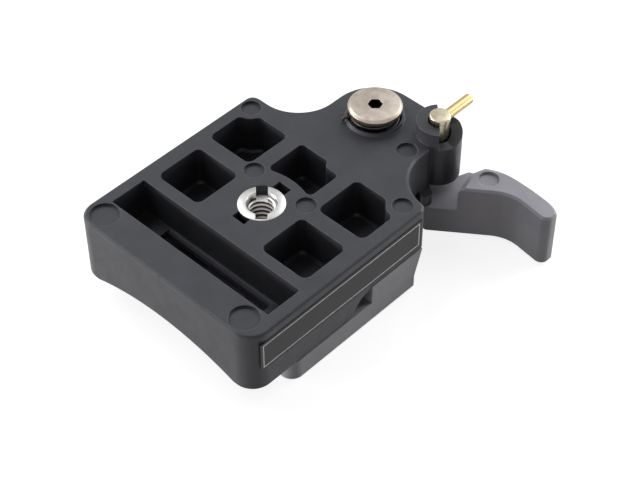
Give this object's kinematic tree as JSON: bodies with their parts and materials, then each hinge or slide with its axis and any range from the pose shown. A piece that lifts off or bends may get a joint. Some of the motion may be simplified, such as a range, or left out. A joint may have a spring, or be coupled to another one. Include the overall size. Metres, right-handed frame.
{
  "type": "quick release adapter with clamped camera plate",
  "caption": "Camera quick release adapter: a ribbed casting with a threaded bush clamps a dovetail camera plate by a finger lever locked by a turning safety pin.",
  "frame": {"origin": "centre of the tripod bush's mouth, in the plane of the ribbed face", "axes": "+Z points out of the bush, away from the clamped camera plate; +Y runs from the fixed jaw to the lever's pivot ear; +X points to the side where the lever handle stands out. The part is shown ribbed side up, resting on the camera plate's pads"},
  "size_m": [0.0697, 0.0817, 0.0268],
  "materials": {
    "casting": "satin black powder coat on a die casting",
    "grey_casting": "satin mid grey paint on a die casting",
    "nickel": "bright nickel plate",
    "brass": "polished pale brass",
    "spring_steel": "drawn spring wire",
    "steel": "plain turned steel",
    "pad": "matt ribbed rubber",
    "label": "matt printed film, left blank",
    "washer": "plain nylon"
  },
  "bodies": {
    "adapter": {"adapter_body": "casting", "tripod_bush": "nickel", "label_plate": "label", "camera_plate": "grey_casting", "grip_pad_left": "pad", "grip_pad_right": "pad", "lever_spring": "spring_steel", "safety_pin_spring": "spring_steel", "trigger_pin": "brass", "trigger_spring": "spring_steel"},
    "lever": {"clamp_lever": "grey_casting", "pivot_screw": "nickel"},
    "pin_carrier": {"safety_pin_clip": "steel"},
    "pin": {"safety_pin": "nickel", "safety_pin_arm": "brass"},
    "screw_carrier": {"camera_screw_washer": "washer"},
    "screw": {"camera_screw": "steel", "camera_screw_ring": "steel"}
  },
  "joints": [
    {"name": "lever_swing", "type": "hinge", "parent": "adapter", "child": "lever", "pos_m": [-0.0009, 0.0364, -0.012], "axis": [0, 0, 1], "range_deg": [0, 55], "stiffness_Nm_per_rad": 0.25, "springref_deg": -34.38, "deforming": ["lever_spring"]},
    {"name": "pin_travel", "type": "slide", "parent": "adapter", "child": "pin_carrier", "axis": [0, 0, -1], "range_m": [0, 0.00305], "deforming": ["safety_pin_spring"]},
    {"name": "pin_turn", "type": "hinge", "parent": "pin_carrier", "child": "pin", "pos_m": [0.01265, 0.04245, 0], "axis": [0, 0, 1], "range_deg": [-111, 0]},
    {"name": "screw_travel", "type": "slide", "parent": "adapter", "child": "screw_carrier", "axis": [0, 0, -1], "range_m": [0, 0.0034]},
    {"name": "screw_turn", "type": "hinge", "parent": "screw_carrier", "child": "screw", "pos_m": [0, 0, -0.015], "axis": [0, 0, 1], "continuous": true}
  ],
  "couplings": [
    {"joint": "pin_turn", "follows": "pin_travel", "rad_per_m": -635.19}
  ]
}
